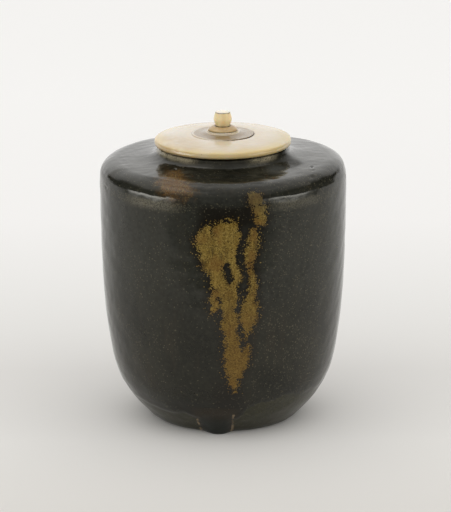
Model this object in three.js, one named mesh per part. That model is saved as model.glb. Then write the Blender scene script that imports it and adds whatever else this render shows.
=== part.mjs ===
// Small glazed stoneware tea caddy with a turned, ivory-coloured lid.
// Millimetres, +Z up. The origin is the middle of the flat foot, on the surface that the jar stands on.
// The -Y side is the front, where the glaze has run down to the foot.

import * as THREE from 'three';

// Jar, outside: each height is measured up from the one before it
const footRadius = 21.8;
const footBevel = 0.4;
const bellyRadius = 36.9;
const bellyHeight = 72.4;
const cornerSpan = 3.9;
const cornerRise = 6.75;
const shoulderRise = 1.71;
const neckSpan = 3.6;
const neckRise = 1.14;
const lipThickness = 2.8;
const lipRounding = 0.8;

// Jar, inside
const mouthRadius = 16.8;
const mouthRounding = 0.6;
const wallThickness = 3.3;
const shoulderThickness = 3.2;
const floorThickness = 5.2;
const floorFlatRadius = 12.0;
const floorCurveHeight = 14.0;
const neckFlare = 1.6;

// Bead of glaze at the foot, in front
const beadThickness = 2.2;
const beadHalfWidth = 5.2;
const beadHeight = 7.0;
const beadOffset = -1.8;

// Lid plate
const seatGap = 0.3;
const lidOverhang = 0.8;
const lidRimThickness = 2.1;
const lidRimFlat = 0.9;
const lidCrown = 0.3;
const bossFootRadius = 9.8;
const bossRadius = 8.3;
const bossStep = 0.3;
const bossHeight = 1.9;
const collarSeatRadius = 4.6;
const socketRadius = 1.4;
const socketDepth = 2.9;

// Locating ring under the lid
const ringClearance = 0.5;
const ringDepth = 2.0;
const ringThickness = 1.5;
const ringBevel = 0.35;

// Gold-leafed lining inside the ring
const liningGap = 0.3;
const liningThickness = 0.25;
const liningSkirt = 1.5;

// Collar under the knob
const collarRadius = 4.5;
const collarThickness = 1.3;
const collarEdgeHeight = 0.45;
const collarTopRadius = 2.9;
const tenonClearance = 0.3;

// Knob
const knobFootRadius = 2.05;
const knobBellyRadius = 2.7;
const knobBellyHeight = 2.0;
const knobBarrelHeight = 4.0;
const knobTopRadius = 2.25;
const grooveDepth = 0.22;
const grooveWidth = 0.2;
const capHeight = 0.4;
const tenonTipGap = 0.3;

// Steps round the axis, and along the curves
const jarSteps = 68;
const lidSteps = 56;
const smallSteps = 32;
const wallSteps = 12;
const cornerSteps = 6;
const curveSteps = 6;
const shortCurveSteps = 3;

// The wall between foot and belly: share of the swell from foot to belly, share of the belly's height
const wallShares = [
  [0, 0],
  [0.19, 0.0415],
  [0.465, 0.11],
  [0.698, 0.207],
  [0.84, 0.345],
  [0.934, 0.524],
  [0.977, 0.744],
  [1, 1],
];
// Handles of the curves over the corner, across the shoulder and up the neck
const cornerRiseShare = 0.593;
const cornerSpanShare = 0.885;
const cornerTopShare = 0.741;
const shoulderSpanShare = 0.8;
const shoulderRiseShare = 0.57;
const neckRiseShare = 0.27;
// How strongly the bead of glaze gathers towards the foot
const beadGatherShare = 0.3;

// Places that follow from the sizes above
const shoulderRadius = bellyRadius - cornerSpan;
const shoulderHeight = bellyHeight + cornerRise;
const lipRadius = mouthRadius + lipThickness;
const neckFootRadius = lipRadius + neckSpan;
const neckFootHeight = shoulderHeight + shoulderRise;
const lipFootHeight = neckFootHeight + neckRise;
const lipTopHeight = lipFootHeight + lipRounding;
const lidRadius = lipRadius + lidOverhang;

function point(radius, height) {
  return new THREE.Vector2(radius, height);
}

function quadratic(start, handle, end, steps) {
  return new THREE.QuadraticBezierCurve(start, handle, end).getPoints(steps);
}

function withoutRepeats(points) {
  return points.filter((p, i) => i === 0 || p.distanceTo(points[i - 1]) > 0);
}

// A revolved body with its axis along +Z
function revolve(points, steps) {
  const geometry = new THREE.LatheGeometry(withoutRepeats(points), steps);
  return geometry.rotateX(Math.PI / 2);
}

function wallProfile() {
  const knots = wallShares.map(([swell, rise]) => point(
    footRadius + swell * (bellyRadius - footRadius),
    rise * bellyHeight,
  ));
  return new THREE.SplineCurve(knots).getPoints(wallSteps);
}

// From the upright wall over the rounded corner to the shoulder, moved in and down for the inside
function cornerProfile(inset, drop) {
  const foot = bellyHeight - drop;
  return new THREE.CubicBezierCurve(
    point(bellyRadius - inset, foot),
    point(bellyRadius - inset, foot + cornerRiseShare * cornerRise),
    point(shoulderRadius - inset + cornerSpanShare * cornerSpan, foot + cornerTopShare * cornerRise),
    point(shoulderRadius - inset, foot + cornerRise),
  ).getPoints(cornerSteps);
}

// From the corner's edge over the shoulder to the foot of the neck, moved in and down for the inside
function shoulderProfile(inset, drop) {
  const span = shoulderRadius - neckFootRadius;
  return quadratic(
    point(shoulderRadius - inset, shoulderHeight - drop),
    point(
      neckFootRadius - inset + shoulderSpanShare * span,
      shoulderHeight - drop + shoulderRiseShare * shoulderRise,
    ),
    point(neckFootRadius - inset, neckFootHeight - drop),
    curveSteps,
  );
}

// From the shoulder in a hollow curve up the neck, and over the lip to its flat top
function lipProfile() {
  return [
    ...quadratic(
      point(neckFootRadius, neckFootHeight),
      point(lipRadius, neckFootHeight + neckRiseShare * neckRise),
      point(lipRadius, lipFootHeight),
      curveSteps,
    ),
    ...quadratic(
      point(lipRadius, lipFootHeight),
      point(lipRadius, lipTopHeight),
      point(lipRadius - lipRounding, lipTopHeight),
      shortCurveSteps,
    ),
    point(mouthRadius + mouthRounding, lipTopHeight),
  ];
}

// Outside of the jar, from the middle of the foot up to the inner edge of the lip's flat top
function jarOutside() {
  const wall = wallProfile().filter((p) => p.y > footBevel);
  return [
    point(0, 0),
    point(footRadius - footBevel, 0),
    point(footRadius, footBevel),
    ...wall,
    ...cornerProfile(0, 0),
    ...shoulderProfile(0, 0),
    ...lipProfile(),
  ];
}

// Inside of the jar, from the lip's flat top down to the middle of the floor
function jarInside() {
  const ceiling = neckFootHeight - shoulderThickness;
  const wall = wallProfile()
    .filter((p) => p.y > floorCurveHeight && p.y < bellyHeight - shoulderThickness)
    .map((p) => point(p.x - wallThickness, p.y))
    .reverse();
  const wallFoot = wall[wall.length - 1];
  return [
    ...quadratic(
      point(mouthRadius + mouthRounding, lipTopHeight),
      point(mouthRadius, lipTopHeight),
      point(mouthRadius, lipTopHeight - mouthRounding),
      shortCurveSteps,
    ),
    ...quadratic(
      point(mouthRadius, ceiling + neckFlare),
      point(mouthRadius, ceiling),
      point(mouthRadius + neckFlare, ceiling),
      shortCurveSteps,
    ),
    ...shoulderProfile(wallThickness, shoulderThickness).reverse(),
    ...cornerProfile(wallThickness, shoulderThickness).reverse(),
    ...wall,
    ...quadratic(
      wallFoot,
      point(wallFoot.x - wallThickness, floorThickness),
      point(floorFlatRadius, floorThickness),
      curveSteps,
    ),
    point(0, floorThickness),
  ];
}

// How far the bead of glaze stands out of the wall: widest low down, gone at the foot and at its top
function beadSwell(across, height) {
  const side = (across - beadOffset) / beadHalfWidth;
  const rise = height / beadHeight;
  if (Math.abs(side) >= 1 || rise <= 0 || rise >= 1) return 0;
  const acrossShare = Math.cos((side * Math.PI) / 2) ** 2;
  const alongShare = Math.sin(Math.PI * rise ** beadGatherShare);
  return beadThickness * acrossShare * alongShare;
}

// The jar's wall is pushed outwards where the bead hangs
function addBead(geometry) {
  const positions = geometry.getAttribute('position');
  for (let i = 0; i < positions.count; i += 1) {
    const x = positions.getX(i);
    const y = positions.getY(i);
    const z = positions.getZ(i);
    const radius = Math.hypot(x, y);
    const outside = radius > footRadius - 2 * footBevel && z < beadHeight;
    if (outside && y < 0) {
      const growth = (radius + beadSwell(x, z)) / radius;
      positions.setX(i, x * growth);
      positions.setY(i, y * growth);
    }
  }
  geometry.computeVertexNormals();
  return geometry;
}

// Underside of the lid at height 0: locating ring, rim, crowned top, flared boss, collar's seat and socket
function lidProfile() {
  const ringRadius = mouthRadius - ringClearance;
  const ringInside = ringRadius - ringThickness;
  const rimTop = lidRadius - lidRimFlat;
  const bossFoot = lidRimThickness + lidCrown;
  const seatHeight = bossFoot + bossHeight;
  return [
    point(0, 0),
    point(ringInside, 0),
    point(ringInside, ringBevel - ringDepth),
    point(ringInside + ringBevel, -ringDepth),
    point(ringRadius - ringBevel, -ringDepth),
    point(ringRadius, ringBevel - ringDepth),
    point(ringRadius, 0),
    point(rimTop, 0),
    ...quadratic(
      point(rimTop, 0),
      point(lidRadius, 0),
      point(lidRadius, lidRimThickness / 2),
      shortCurveSteps,
    ),
    ...quadratic(
      point(lidRadius, lidRimThickness / 2),
      point(lidRadius, lidRimThickness),
      point(rimTop, lidRimThickness),
      shortCurveSteps,
    ),
    ...quadratic(
      point(rimTop, lidRimThickness),
      point((rimTop + bossFootRadius) / 2, bossFoot),
      point(bossFootRadius, bossFoot),
      shortCurveSteps,
    ),
    ...quadratic(
      point(bossFootRadius, bossFoot),
      point(bossFootRadius, bossFoot + bossStep),
      point(bossRadius, bossFoot + bossStep),
      shortCurveSteps,
    ),
    ...quadratic(
      point(bossRadius, bossFoot + bossStep),
      point((bossRadius + collarSeatRadius) / 2, bossFoot + bossStep),
      point(collarSeatRadius, seatHeight),
      curveSteps,
    ),
    point(socketRadius, seatHeight),
    point(socketRadius, seatHeight - socketDepth),
    point(0, seatHeight - socketDepth),
  ];
}

function liningProfile() {
  const outer = mouthRadius - ringClearance - ringThickness - liningGap;
  return [
    point(0, -liningThickness),
    point(outer - liningThickness, -liningThickness),
    point(outer - liningThickness, -liningSkirt),
    point(outer, -liningSkirt),
    point(outer, 0),
    point(0, 0),
  ];
}

// Ring-shaped, so its profile closes on itself
function collarProfile() {
  const bore = socketRadius;
  const turned = new THREE.CubicBezierCurve(
    point(collarSeatRadius - collarEdgeHeight, 0),
    point(collarRadius, 0),
    point(collarRadius, 2 * collarEdgeHeight),
    point(collarTopRadius, collarThickness),
  ).getPoints(curveSteps + shortCurveSteps);
  return [point(bore, 0), ...turned, point(bore, collarThickness), point(bore, 0)];
}

// Knob with its foot at height 0 and its tenon below
function knobProfile() {
  const tenonRadius = socketRadius - tenonClearance;
  const tenonLength = collarThickness + socketDepth - tenonTipGap;
  const barrel = new THREE.SplineCurve([
    point(knobFootRadius, 0),
    point(knobBellyRadius, knobBellyHeight),
    point(knobTopRadius, knobBarrelHeight),
  ]).getPoints(curveSteps + shortCurveSteps);
  const capFoot = knobBarrelHeight + grooveWidth;
  return [
    point(0, -tenonLength),
    point(tenonRadius, -tenonLength),
    point(tenonRadius, 0),
    ...barrel,
    point(knobTopRadius - grooveDepth, knobBarrelHeight + grooveWidth / 2),
    point(knobTopRadius, capFoot),
    ...quadratic(
      point(knobTopRadius, capFoot),
      point(knobTopRadius - capHeight, capFoot + capHeight),
      point(0, capFoot + capHeight),
      curveSteps,
    ),
  ];
}

const glaze = { color: 0x2c2a25, roughness: 0.28, metalness: 0 };
const ivory = { color: 0xe2d2ad, roughness: 0.22, metalness: 0 };
const warmIvory = { color: 0xd9bf84, roughness: 0.25, metalness: 0 };
const darkIvory = { color: 0xb08a58, roughness: 0.3, metalness: 0 };
const goldLeaf = { color: 0xc79a3e, roughness: 0.35, metalness: 1 };

function piece(name, geometry, look) {
  const mesh = new THREE.Mesh(geometry, new THREE.MeshStandardMaterial(look));
  mesh.name = name;
  return mesh;
}

function lid() {
  const group = new THREE.Group();
  const collarHeight = lidRimThickness + lidCrown + bossHeight;
  const plate = piece('lid_plate', revolve(lidProfile(), lidSteps), ivory);
  const lining = piece('gold_leaf_lining', revolve(liningProfile(), lidSteps), goldLeaf);
  const collar = piece('knob_collar', revolve(collarProfile(), smallSteps), darkIvory);
  const knob = piece('knob', revolve(knobProfile(), smallSteps), warmIvory);
  collar.position.z = collarHeight;
  knob.position.z = collarHeight + collarThickness;
  group.add(plate, lining, collar, knob);
  return group;
}

function jar() {
  const profile = [...jarOutside(), ...jarInside()];
  return piece('stoneware_body', addBead(revolve(profile, jarSteps)), glaze);
}

const caddy = new THREE.Group();
const lidGroup = lid();
lidGroup.position.z = lipTopHeight + seatGap;
caddy.add(jar(), lidGroup);

export default caddy;
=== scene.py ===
# Small glazed stoneware tea caddy with a turned, ivory-coloured lid, on a plain pale ground.
import math
from functools import reduce
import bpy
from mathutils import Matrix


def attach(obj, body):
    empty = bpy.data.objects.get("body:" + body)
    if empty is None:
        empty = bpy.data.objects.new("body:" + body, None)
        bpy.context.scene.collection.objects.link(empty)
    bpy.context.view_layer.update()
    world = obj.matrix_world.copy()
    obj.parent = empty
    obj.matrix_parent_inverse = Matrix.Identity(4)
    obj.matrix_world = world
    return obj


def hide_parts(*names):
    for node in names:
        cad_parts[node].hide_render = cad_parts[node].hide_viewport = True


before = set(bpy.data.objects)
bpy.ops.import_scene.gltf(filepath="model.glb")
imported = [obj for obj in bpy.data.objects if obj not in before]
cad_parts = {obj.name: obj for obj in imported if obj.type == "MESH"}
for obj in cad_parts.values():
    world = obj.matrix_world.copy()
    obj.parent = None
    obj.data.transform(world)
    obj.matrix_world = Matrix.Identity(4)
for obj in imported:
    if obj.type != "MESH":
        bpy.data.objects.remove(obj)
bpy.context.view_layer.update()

from types import SimpleNamespace

import bpy
import numpy as np

MM = 0.001          # shapes are drawn in millimetres; meshes, shaders and staging are in metres
TURN = 2 * math.pi


# Profiles

def bezier(points, count=24):
    """Points along a curve given by its ends and the handles between them."""
    t = np.linspace(0, 1, count)[:, None]
    rows = [np.repeat(np.array([p], float), count, 0) for p in points]
    while len(rows) > 1:
        rows = [(1 - t) * a + t * b for a, b in zip(rows, rows[1:])]
    return rows[0]


def spline(points, count=16):
    """A smooth curve through all points."""
    p = np.array(points, float)
    p = np.vstack([p[:1], p, p[-1:]])
    t = np.linspace(0, 1, count, endpoint=False)[:, None]
    parts = []
    for a, b, c, d in zip(p, p[1:], p[2:], p[3:]):
        bend = 2 * a - 5 * b + 4 * c - d + t * (3 * (b - c) + d - a)
        parts.append(b + 0.5 * t * (c - a + t * bend))
    return np.vstack(parts + [p[-1:]])


def lengths(line):
    """Distance from the start of a line to each of its points."""
    steps = np.hypot(*np.diff(line, axis=0).T)
    return np.concatenate([[0], np.cumsum(steps)])


def evenly(line, spacing):
    """The line with points about `spacing` apart, its two ends kept."""
    line = np.array(line, float)
    s = lengths(line)
    at = np.linspace(0, s[-1], max(2, int(round(s[-1] / spacing)) + 1))
    return np.column_stack([np.interp(at, s, line[:, k]) for k in (0, 1)])


def chain(*parts):
    """One profile from parts that share their ends."""
    rows = [parts[0]] + [p[1:] if np.allclose(p[0], q[-1]) else p for q, p in zip(parts, parts[1:])]
    return np.vstack(rows)


def drawn(start, *moves):
    """A profile drawn from `start`. A move holds a spacing, handles where it curves, and its end."""
    parts = []
    for spacing, *points in moves:
        line = [start, *points]
        parts.append(evenly(line if len(points) == 1 else bezier(line), spacing))
        start = points[-1]
    return chain(*parts)


def softened(line, spacing, reach):
    """The line evenly spaced, with kinks rounded off over about `reach`."""
    line = evenly(line, spacing)
    half = max(1, int(round(reach / spacing)))
    kernel = np.hanning(2 * half + 3)[1:-1]
    kernel /= kernel.sum()
    out = line.copy()
    for k in (0, 1):
        padded = np.pad(line[:, k], half, mode="reflect", reflect_type="odd")
        out[:, k] = np.convolve(padded, kernel, mode="valid")
    return out


def smoothstep(value, low, high):
    """0 at `low`, 1 at `high`, and a soft passage between them."""
    t = np.clip((value - low) / (high - low), 0, 1)
    return t * t * (3 - 2 * t)


def bell(value, middle, half_width):
    """1 in the middle, 0 from half_width outwards."""
    t = np.clip(np.abs(value - middle) / half_width, 0, 1)
    return np.cos(t * math.pi / 2) ** 2


def waves(where, wavelength, seed, count=26):
    """A smooth random field over points in space, about -2 to 2, the same in each run."""
    rng = np.random.default_rng(seed)
    out = np.zeros(where.shape[:-1])
    for _ in range(count):
        way = rng.normal(size=3)
        way *= TURN / (np.linalg.norm(way) * wavelength * rng.uniform(0.7, 1.6))
        out += np.sin(where @ way + rng.uniform(0, TURN))
    return out * math.sqrt(2 / count)


# Meshes

def lathe_columns(count, crowding=0.0):
    """Angles round the axis from the front, closer together there by `crowding`."""
    t = np.arange(count) / count * TURN - math.pi
    return t - crowding * np.sin(t)


def turned(radius, height, angles):
    """Points in space for each row of a profile and each angle, with the front towards -Y."""
    spots = np.broadcast_arrays(radius * np.sin(angles), -radius * np.cos(angles), height)
    return np.stack(spots, -1)


def lathe_faces(index, closed):
    """Faces between neighbouring rows of point numbers, triangles where a row has shrunk to a tip."""
    lower, upper = (index, np.roll(index, -1, 0)) if closed else (index[:-1], index[1:])
    quads = np.stack([lower, np.roll(lower, -1, 1), np.roll(upper, -1, 1), upper], -1).reshape(-1, 4)
    loops = [[v for k, v in enumerate(quad) if v != quad[k - 1]] for quad in quads.tolist()]
    return [loop for loop in loops if len(loop) > 2]


def lathe_mesh(name, profile, angles, swell=0.0, fields=None, closed=False):
    """A revolved mesh. `swell` pushes each point along the profile's normal, and `fields` are kept
    as attributes of its points."""
    along = np.gradient(profile, axis=0)
    if closed:
        along = np.roll(profile, -1, 0) - np.roll(profile, 1, 0)
    along /= np.maximum(np.hypot(*along.T), 1e-9)[:, None]
    shape = len(profile), len(angles)
    push = np.broadcast_to(swell, shape)
    radius = profile[:, :1] + push * along[:, 1:]
    height = np.maximum(profile[:, 1:] - push * along[:, :1], 0)
    points = turned(radius, height, angles).reshape(-1, 3)
    index = np.arange(len(points)).reshape(shape)
    keep = np.ones(len(points), bool)
    for row in () if closed else (0, -1):
        if profile[row, 0] < 1e-6:
            keep[index[row, 1:]] = False
            index[row] = index[row, 0]
    index = (np.cumsum(keep) - 1)[index]
    mesh = bpy.data.meshes.new(name)
    mesh.from_pydata((points[keep] * MM).tolist(), [], lathe_faces(index, closed))
    mesh.polygons.foreach_set("use_smooth", [True] * len(mesh.polygons))
    for field, values in (fields or {}).items():
        values = np.broadcast_to(values, shape).reshape(-1)[keep]
        data = mesh.attributes.new(field, "FLOAT", "POINT").data
        data.foreach_set("value", values.astype(np.float32))
    mesh.update()
    return mesh


def plain_mesh(name, points, faces):
    mesh = bpy.data.meshes.new(name)
    mesh.from_pydata(points, [], faces)
    return mesh


def place(mesh, material, body=None, node=None):
    """The mesh as a piece of the scene with its name, riding on a body and standing for a solid."""
    piece = bpy.data.objects.new(mesh.name, mesh)
    bpy.context.scene.collection.objects.link(piece)
    mesh.materials.append(material)
    if body:
        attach(piece, body)
        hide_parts(node)
    return piece


# Shader nodes

class Nodes:
    """Short ways to add nodes to a tree. Values may be numbers, colours or sockets."""

    def __init__(self, tree):
        self.tree = tree
        tree.nodes.clear()

    def add(self, kind, sockets=None, **settings):
        node = self.tree.nodes.new(kind)
        for key, value in settings.items():
            setattr(node, key, value)
        for key, value in (sockets or {}).items():
            if isinstance(value, bpy.types.NodeSocket):
                self.tree.links.new(value, node.inputs[key])
            else:
                node.inputs[key].default_value = value
        return node

    def math(self, operation, *values, clamp=False):
        node = self.add("ShaderNodeMath", dict(enumerate(values)), operation=operation, use_clamp=clamp)
        return node.outputs[0]

    def total(self, *values):
        return reduce(lambda a, b: self.math("ADD", a, b), values)

    def times(self, *values):
        return reduce(lambda a, b: self.math("MULTIPLY", a, b), values)

    def gap(self, value, middle):
        """How far a value is from the middle one, to either side."""
        return self.math("ABSOLUTE", self.math("SUBTRACT", value, middle))

    def smooth(self, value, low, high, start=0.0, end=1.0):
        """`start` at `low`, `end` at `high`, and a soft passage between them."""
        sockets = {0: value, 1: low, 2: high, 3: start, 4: end}
        return self.add("ShaderNodeMapRange", sockets, interpolation_type="SMOOTHSTEP").outputs[0]

    def between(self, value, start, full, fading, gone):
        """1 from `full` to `fading`, and 0 before `start` and after `gone`."""
        return self.times(self.smooth(value, start, full), self.smooth(value, gone, fading))

    def noise(self, where, scale, detail=2.0, roughness=0.5, distortion=0.0):
        sockets = {"Vector": where, "Scale": scale, "Detail": detail, "Roughness": roughness,
                   "Distortion": distortion}
        return self.add("ShaderNodeTexNoise", sockets).outputs[0]

    def stretch(self, where, x, y, z):
        node = self.add("ShaderNodeVectorMath", {0: where, 1: (x, y, z)}, operation="MULTIPLY")
        return node.outputs[0]

    def away(self, where, x, y):
        """Distance from the upright line through (x, y)."""
        sockets = {0: self.stretch(where, 1, 1, 0), 1: (x, y, 0)}
        return self.add("ShaderNodeVectorMath", sockets, operation="DISTANCE").outputs["Value"]

    def xyz(self, where):
        return self.add("ShaderNodeSeparateXYZ", {0: where}).outputs

    def mix(self, factor, a, b):
        a, b = (v if isinstance(v, bpy.types.NodeSocket) else (*v, 1.0) for v in (a, b))
        return self.add("ShaderNodeMix", {0: factor, 6: a, 7: b}, data_type="RGBA").outputs[2]

    def coats(self, colour, *coats):
        """Colours laid over one another. A coat holds where it lies, its strength and its colour."""
        for cover, strength, over in coats:
            colour = self.mix(self.times(cover, strength), colour, over)
        return colour

    def field(self, name):
        return self.add("ShaderNodeAttribute", attribute_name=name).outputs["Fac"]

    def coordinates(self, kind="Object"):
        return self.add("ShaderNodeTexCoord").outputs[kind]

    def bump(self, height, strength, distance):
        sockets = {"Height": height, "Strength": strength, "Distance": distance}
        return self.add("ShaderNodeBump", sockets).outputs[0]

    def grains(self, where, scale):
        """Small cells: how far a point is from its cell's middle, and three random levels of the cell."""
        cell = self.add("ShaderNodeTexVoronoi", {"Vector": where, "Scale": scale})
        levels = self.add("ShaderNodeSeparateColor", {0: cell.outputs["Color"]}).outputs
        return cell.outputs["Distance"], levels

    def specks(self, where, scale, size, share):
        """Small round dots: `share` of the cells holds one, of up to `size` of a cell."""
        distance, levels = self.grains(where, scale)
        chosen = self.math("LESS_THAN", levels[0], share)
        from_edge = self.math("SUBTRACT", distance, self.times(self.total(levels[1], 0.35), size))
        return self.times(self.smooth(from_edge, -0.05, 0.05, 1.0, 0.0), chosen)

    def ramp(self, value, stops, curve="LINEAR"):
        """Colours or levels at places from 0 to 1."""
        node = self.add("ShaderNodeValToRGB", {0: value})
        node.color_ramp.interpolation = curve
        points = node.color_ramp.elements
        while len(points) < len(stops):
            points.new(0.5)
        for point, (at, colour) in zip(points, stops):
            point.position, point.color = at, (*np.broadcast_to(colour, 3), 1)
        return node.outputs[0]

    def surface(self, **sockets):
        named = {key.replace("_", " "): value for key, value in sockets.items()}
        shader = self.add("ShaderNodeBsdfPrincipled", named)
        self.add("ShaderNodeOutputMaterial", {"Surface": shader.outputs[0]})

    def veil(self, cover, shader):
        """A surface that shows the shader by `cover` and is clear elsewhere."""
        clear = self.add("ShaderNodeBsdfTransparent")
        both = self.add("ShaderNodeMixShader", {0: cover, 1: clear.outputs[0], 2: shader.outputs[0]})
        self.add("ShaderNodeOutputMaterial", {"Surface": both.outputs[0]})


def new_material(name):
    material = bpy.data.materials.new(name)
    material.use_nodes = True
    return material, Nodes(material.node_tree)


# Jar: its sizes, and the profile from the middle of the foot over the outside to the middle of the floor

FOOT_RADIUS, HEEL_ROUNDING = 21.8, 1.1
BELLY_RADIUS, BELLY_HEIGHT = 36.9, 72.4
CORNER_SPAN, CORNER_RISE, SHOULDER_RISE = 3.9, 6.75, 1.71
NECK_SPAN, NECK_RISE, LIP_ROUNDING = 3.6, 1.14, 0.8
LIP_RADIUS = 19.6
SHOULDER_RADIUS, SHOULDER_HEIGHT = BELLY_RADIUS - CORNER_SPAN, BELLY_HEIGHT + CORNER_RISE
NECK_FOOT_RADIUS, NECK_FOOT_HEIGHT = LIP_RADIUS + NECK_SPAN, SHOULDER_HEIGHT + SHOULDER_RISE
LIP_FOOT_HEIGHT = NECK_FOOT_HEIGHT + NECK_RISE
LIP_TOP_HEIGHT = LIP_FOOT_HEIGHT + LIP_ROUNDING
MOUTH_RADIUS, MOUTH_ROUNDING = 16.8, 0.6
WALL_THICKNESS, SHOULDER_THICKNESS, FLOOR_THICKNESS = 3.3, 3.2, 5.2
FLOOR_CURVE_HEIGHT, FLOOR_FLAT_RADIUS, NECK_FLARE = 14.0, 12.0, 1.6
WALL_SHARES = [(0, 0), (0.19, 0.0415), (0.465, 0.11), (0.698, 0.207), (0.84, 0.345), (0.934, 0.524),
               (0.977, 0.744), (1, 1)]
WALL_END_HEIGHT, NECK_START_HEIGHT = 70.4, 79.85
CORNER_START, CORNER_EDGE = (BELLY_RADIUS, 70.8), (36.77, 74.4)
SHOULDER_START, SHOULDER_END = (31.1, 79.25), (27.2, 79.52)
WALL_STEP, CORNER_STEP, NECK_STEP = 0.46, 0.3, 0.24
FOOT_SPAN = BELLY_RADIUS - FOOT_RADIUS

wall = spline([(FOOT_RADIUS + a * FOOT_SPAN, b * BELLY_HEIGHT) for a, b in WALL_SHARES])


def outside_profile():
    """From the heel up the wall, over the corner and the shoulder, up the neck and over the lip."""
    lip_foot = (LIP_RADIUS, LIP_FOOT_HEIGHT)
    line = chain(
        wall[(wall[:, 1] > HEEL_ROUNDING) & (wall[:, 1] < WALL_END_HEIGHT)],
        bezier([CORNER_START, (BELLY_RADIUS, 72.9), CORNER_EDGE]),
        bezier([CORNER_EDGE, (36.61, 77.8), (33.8, 79.08), SHOULDER_START], 60),
        np.array([SHOULDER_START, SHOULDER_END]),
        bezier([SHOULDER_END, (22.8, 79.82), (20.2, 80.1), lip_foot], 40),
        bezier([lip_foot, (LIP_RADIUS, LIP_TOP_HEIGHT), (LIP_RADIUS - LIP_ROUNDING, LIP_TOP_HEIGHT)]),
    )
    line = softened(line, spacing=0.05, reach=0.3)
    corner, neck = (np.argmax(line[:, 1] > height) for height in (BELLY_HEIGHT, NECK_START_HEIGHT))
    line = chain(evenly(line[:corner + 1], WALL_STEP), evenly(line[corner:neck + 1], CORNER_STEP),
                 evenly(line[neck:], NECK_STEP))
    line[0] = wall[wall[:, 1] > HEEL_ROUNDING][0]
    return line


def inside_profile(lip_end):
    """From the lip over the mouth's edge, under the shoulder and down the wall to the floor."""
    neck = (NECK_FOOT_RADIUS - WALL_THICKNESS, ceiling)
    edge = (SHOULDER_RADIUS - WALL_THICKNESS, SHOULDER_HEIGHT - SHOULDER_THICKNESS)
    belly = (BELLY_RADIUS - WALL_THICKNESS, BELLY_HEIGHT - SHOULDER_THICKNESS)
    inner_wall = wall[(wall[:, 1] > FLOOR_CURVE_HEIGHT) & (wall[:, 1] < belly[1])] - (WALL_THICKNESS, 0)
    heel = inner_wall[0]
    under_shoulder = chain(
        bezier([neck, (neck[0] + 0.8 * (edge[0] - neck[0]), edge[1] + 0.57 * SHOULDER_RISE), edge], 60),
        bezier([edge, (edge[0] + 0.885 * CORNER_SPAN, belly[1] + 0.741 * CORNER_RISE),
                (belly[0], belly[1] + 0.593 * CORNER_RISE), belly], 60),
        inner_wall[::-1],
        bezier([heel, (heel[0] - WALL_THICKNESS, FLOOR_THICKNESS), (FLOOR_FLAT_RADIUS, FLOOR_THICKNESS)]),
        np.array([(0, FLOOR_THICKNESS)]),
    )
    return chain(
        drawn(lip_end, (0.5, (MOUTH_RADIUS + MOUTH_ROUNDING, LIP_TOP_HEIGHT)),
              (0.3, (MOUTH_RADIUS, LIP_TOP_HEIGHT), (MOUTH_RADIUS, LIP_TOP_HEIGHT - MOUTH_ROUNDING))),
        drawn((MOUTH_RADIUS, ceiling + NECK_FLARE),
              (0.8, (MOUTH_RADIUS, ceiling), (MOUTH_RADIUS + NECK_FLARE, ceiling))),
        softened(under_shoulder, spacing=1.9, reach=2.0),
    )


ceiling = NECK_FOOT_HEIGHT - SHOULDER_THICKNESS
outside = outside_profile()
base = evenly([(0, 0), (FOOT_RADIUS - HEEL_ROUNDING, 0)], 0.62)
bevel = drawn((FOOT_RADIUS - HEEL_ROUNDING, 0), (0.2, (FOOT_RADIUS - 0.1, 0), outside[0]))
jar_profile = chain(base, bevel, outside, inside_profile(outside[-1]))
jar_profile[-1] = (0, FLOOR_THICKNESS)
foot_row, lip_row = len(base) - 1, len(base) + len(bevel) + len(outside) - 3
arc = lengths(jar_profile)
arc -= arc[foot_row]

# Each point of the jar's mesh, with a row for each point of the profile and a column for each angle
angles = lathe_columns(272, 0.4)
jar_r, jar_z = jar_profile[:, :1], jar_profile[:, 1:]
is_base = (np.arange(len(arc)) < foot_row)[:, None]
is_inside = (np.arange(len(arc)) > lip_row)[:, None]
ARC = np.repeat(arc[:, None], len(angles), 1)
HEIGHT = np.repeat(jar_z, len(angles), 1)
ANGLE = np.repeat(angles[None], len(arc), 0)
ACROSS = ANGLE * jar_r
SPACE = turned(jar_r, jar_z, angles)
on_outside = ~(is_base | is_inside) & np.ones_like(ARC, bool)

# Outlines placed on the outside: (distance to the right of the front, length up from the foot)
GOLD_RUN = [(-7.5, 65.6), (-7.7, 67.4), (-6.9, 69.7), (-5.6, 71.7), (-4.3, 72.2), (-3.2, 70.4),
            (-2.4, 72.3), (-1.0, 73.6), (0.3, 73.1), (2.4, 74.1), (3.9, 72.7), (4.5, 70.2), (4.6, 67.3),
            (4.0, 65.2), (2.9, 63.2), (3.8, 61.1), (4.8, 58.7), (4.5, 56.3), (3.5, 54.6), (4.0, 52.6),
            (3.8, 50.5), (2.9, 48.7), (2.7, 46.6), (3.5, 45.0), (4.2, 42.6), (3.8, 39.3), (4.5, 37.0),
            (4.8, 34.0), (6.1, 33.5), (7.3, 35.4), (7.7, 32.9), (6.8, 29.9), (5.7, 27.5), (4.4, 24.7),
            (3.0, 20.6), (2.3, 22.5), (1.2, 25.7), (0.5, 28.7), (0.3, 32.8), (0.5, 35.8), (1.1, 37.6),
            (0.2, 39.3), (-0.5, 42), (0.5, 44.4), (0.2, 46.6), (-1.2, 49.7), (-1.8, 46.6), (-3.0, 46.2),
            (-3.8, 50.5), (-3.1, 55.0), (-3.8, 57.8), (-5.6, 59.5), (-6.9, 63.8)]
GOLD_HOLE = [(-0.1, 62.2), (1.3, 62.0), (2.4, 59.6), (3.0, 57.2), (3.2, 55.3), (2.1, 54.6), (0.7, 55.1),
             (0, 56.7), (-0.3, 58.9)]
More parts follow.
